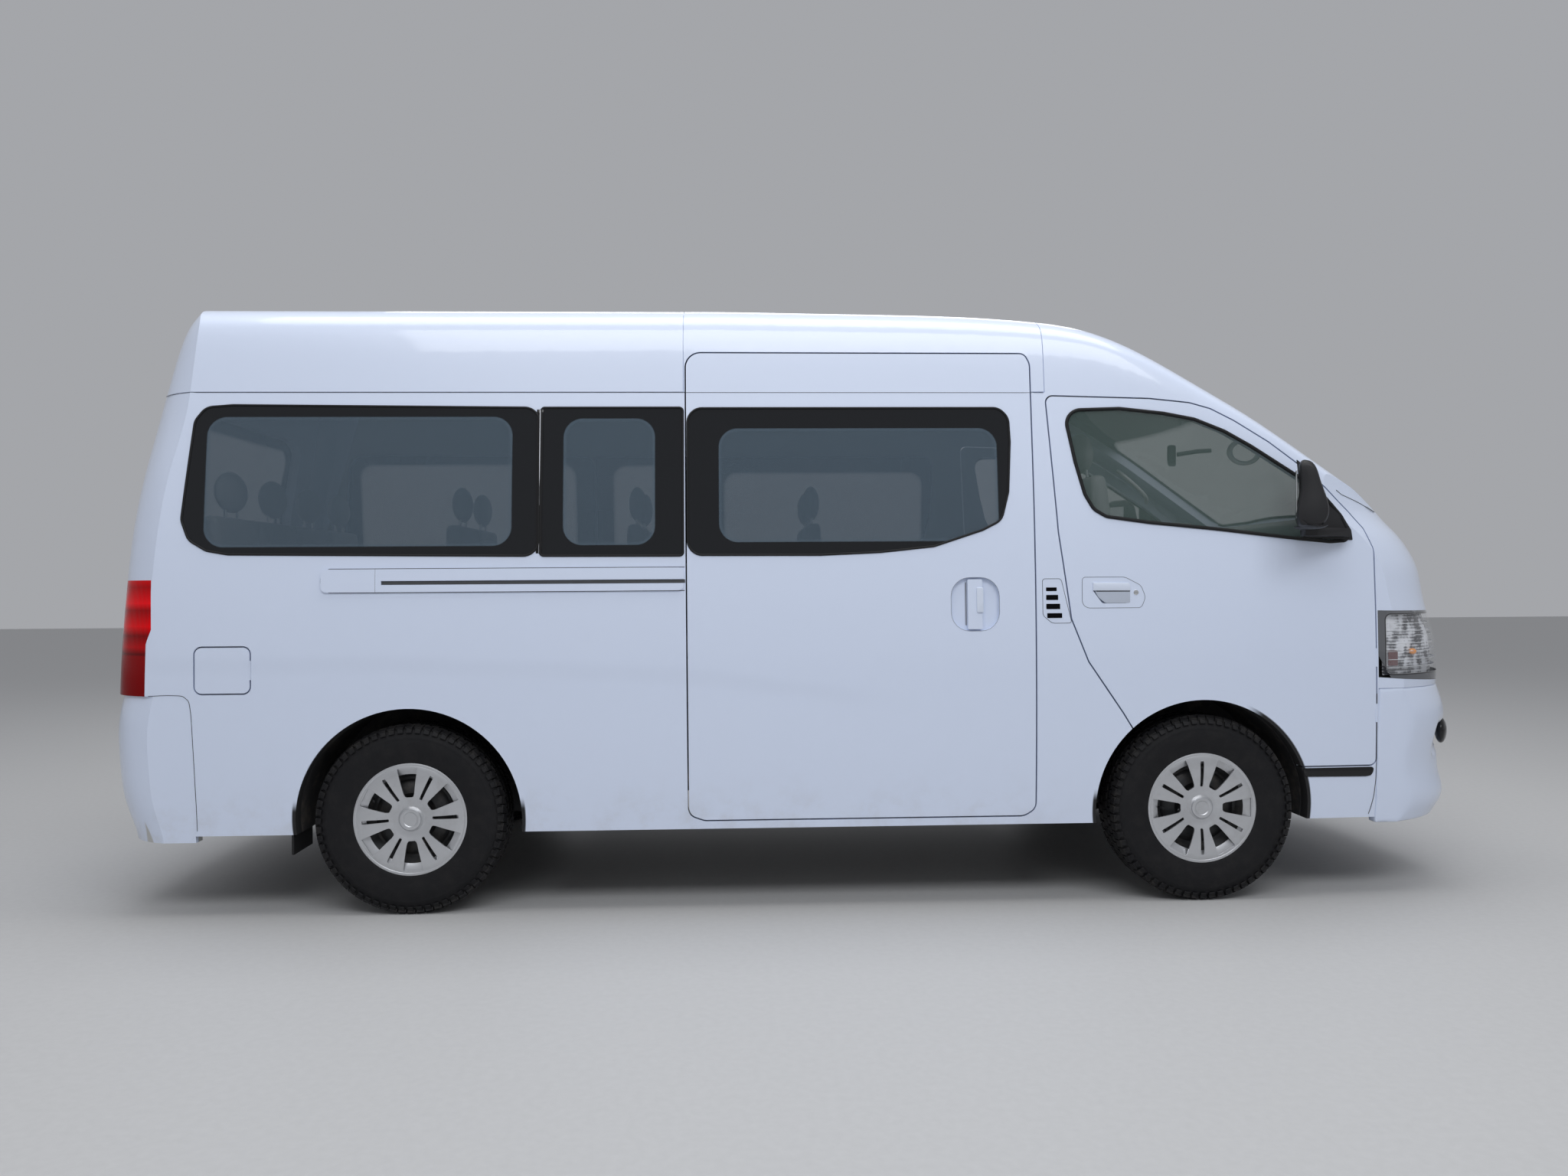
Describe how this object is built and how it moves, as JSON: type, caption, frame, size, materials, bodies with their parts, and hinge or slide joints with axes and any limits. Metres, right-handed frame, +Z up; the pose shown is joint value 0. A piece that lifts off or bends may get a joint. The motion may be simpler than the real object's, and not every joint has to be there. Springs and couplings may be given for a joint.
{
  "type": "minibus",
  "caption": "Long high-roof van for passengers, with opening doors, tailgate, bonnet and fuel flap, steered front wheels and four turning wheels.",
  "frame": {"origin": "on the ground, midway between the axles and between the sides, under the middle of the overall length", "axes": "+X forward, +Y to the vehicle's left, +Z up"},
  "size_m": [5.23, 2.2564, 2.2866],
  "materials": {
    "white_paint": "gloss",
    "tyre": "matt",
    "wheel_silver": "satin",
    "green_glass": "clear, lightly tinted",
    "dark_glass": "dark tint",
    "lamp_red": "clear red lens",
    "lamp_clear": "clear lens",
    "black_plastic": "grained",
    "seat_fabric": "woven",
    "black_steel": "satin",
    "engine_iron": "cast",
    "exhaust_steel": "dull",
    "floor_paint": "satin"
  },
  "bodies": {
    "root": {"roof_panel": "white_paint", "side_panel_right": "white_paint", "side_panel_left": "white_paint", "front_fender_right": "white_paint", "front_fender_left": "white_paint", "sliding_door": "white_paint", "sliding_door_glass": "dark_glass", "windscreen": "green_glass", "side_glass_right": "dark_glass", "side_glass_left": "dark_glass", "tail_lamps": "lamp_red", "headlamps": "lamp_clear", "grille": "black_plastic", "front_bumper": "white_paint", "rear_bumper": "white_paint", "floor_pan": "floor_paint", "chassis_frame": "black_steel", "engine_block": "engine_iron", "front_suspension": "black_steel", "rear_axle": "black_steel", "propeller_shaft": "black_steel", "fuel_tank": "black_steel", "spare_wheel": "tyre", "exhaust": "exhaust_steel", "front_seats": "seat_fabric", "bench_row_2": "seat_fabric", "bench_row_3": "seat_fabric", "bench_row_4": "seat_fabric", "bench_row_5": "seat_fabric", "seat_frames": "black_steel", "dashboard": "black_plastic", "steering_column": "black_plastic", "mud_flaps": "black_plastic", "slide_rail": "white_paint"},
    "front_door_right": {"front_door_right": "white_paint", "front_door_glass_right": "green_glass", "mirror_right": "black_plastic"},
    "front_door_left": {"front_door_left": "white_paint", "front_door_glass_left": "green_glass", "mirror_left": "black_plastic"},
    "tailgate": {"tailgate": "white_paint", "tailgate_glass": "dark_glass"},
    "hood": {"hood": "white_paint"},
    "fuel_flap": {"fuel_flap": "white_paint"},
    "steering_wheel": {"steering_wheel": "black_plastic"},
    "knuckle_right": {"knuckle_right": "black_steel"},
    "knuckle_left": {"knuckle_left": "black_steel"},
    "wheel_front_right": {"tyre_front_right": "tyre", "wheel_front_right": "wheel_silver"},
    "wheel_front_left": {"tyre_front_left": "tyre", "wheel_front_left": "wheel_silver"},
    "wheel_rear_right": {"tyre_rear_right": "tyre", "wheel_rear_right": "wheel_silver"},
    "wheel_rear_left": {"tyre_rear_left": "tyre", "wheel_rear_left": "wheel_silver"}
  },
  "joints": [
    {"name": "steer_left", "type": "hinge", "parent": "root", "child": "knuckle_left", "pos_m": [1.47, 0.767, 0.3465], "axis": [0, 0, 1], "range_deg": [-35, 35]},
    {"name": "steer_right", "type": "hinge", "parent": "root", "child": "knuckle_right", "pos_m": [1.47, -0.767, 0.3465], "axis": [0, 0, 1], "range_deg": [-35, 35]},
    {"name": "wheel_front_right_spin", "type": "hinge", "parent": "knuckle_right", "child": "wheel_front_right", "pos_m": [1.47, -0.827, 0.3465], "axis": [0, 1, 0], "continuous": true},
    {"name": "wheel_front_left_spin", "type": "hinge", "parent": "knuckle_left", "child": "wheel_front_left", "pos_m": [1.47, 0.827, 0.3465], "axis": [0, 1, 0], "continuous": true},
    {"name": "wheel_rear_right_spin", "type": "hinge", "parent": "root", "child": "wheel_rear_right", "pos_m": [-1.47, -0.827, 0.3465], "axis": [0, 1, 0], "continuous": true},
    {"name": "wheel_rear_left_spin", "type": "hinge", "parent": "root", "child": "wheel_rear_left", "pos_m": [-1.47, 0.827, 0.3465], "axis": [0, 1, 0], "continuous": true},
    {"name": "front_door_right_hinge", "type": "hinge", "parent": "root", "child": "front_door_right", "pos_m": [2.14624, -0.90665, 0.8], "axis": [0, 0, 1], "range_deg": [0, 68]},
    {"name": "front_door_left_hinge", "type": "hinge", "parent": "root", "child": "front_door_left", "pos_m": [2.14624, 0.90665, 0.8], "axis": [0, 0, -1], "range_deg": [0, 68]},
    {"name": "tailgate_hinge", "type": "hinge", "parent": "root", "child": "tailgate", "pos_m": [-2.37026, 0, 2.18171], "axis": [0, 1, 0], "range_deg": [0, 85]},
    {"name": "hood_hinge", "type": "hinge", "parent": "root", "child": "hood", "pos_m": [2.36016, 0, 1.44137], "axis": [0, -1, 0], "range_deg": [0, 50]},
    {"name": "fuel_flap_hinge", "type": "hinge", "parent": "root", "child": "fuel_flap", "pos_m": [-2.02922, -0.93937, 0.89915], "axis": [0, 0, 1], "range_deg": [0, 90]},
    {"name": "steering_wheel_turn", "type": "hinge", "parent": "root", "child": "steering_wheel", "pos_m": [1.61885, 0.4982, 1.35957], "axis": [-0.5299, 0, 0.848], "range_deg": [-525, 525]}
  ],
  "couplings": [
    {"joint": "steer_right", "follows": "steer_left", "ratio": 1},
    {"joint": "steering_wheel_turn", "follows": "steer_left", "ratio": 15}
  ]
}
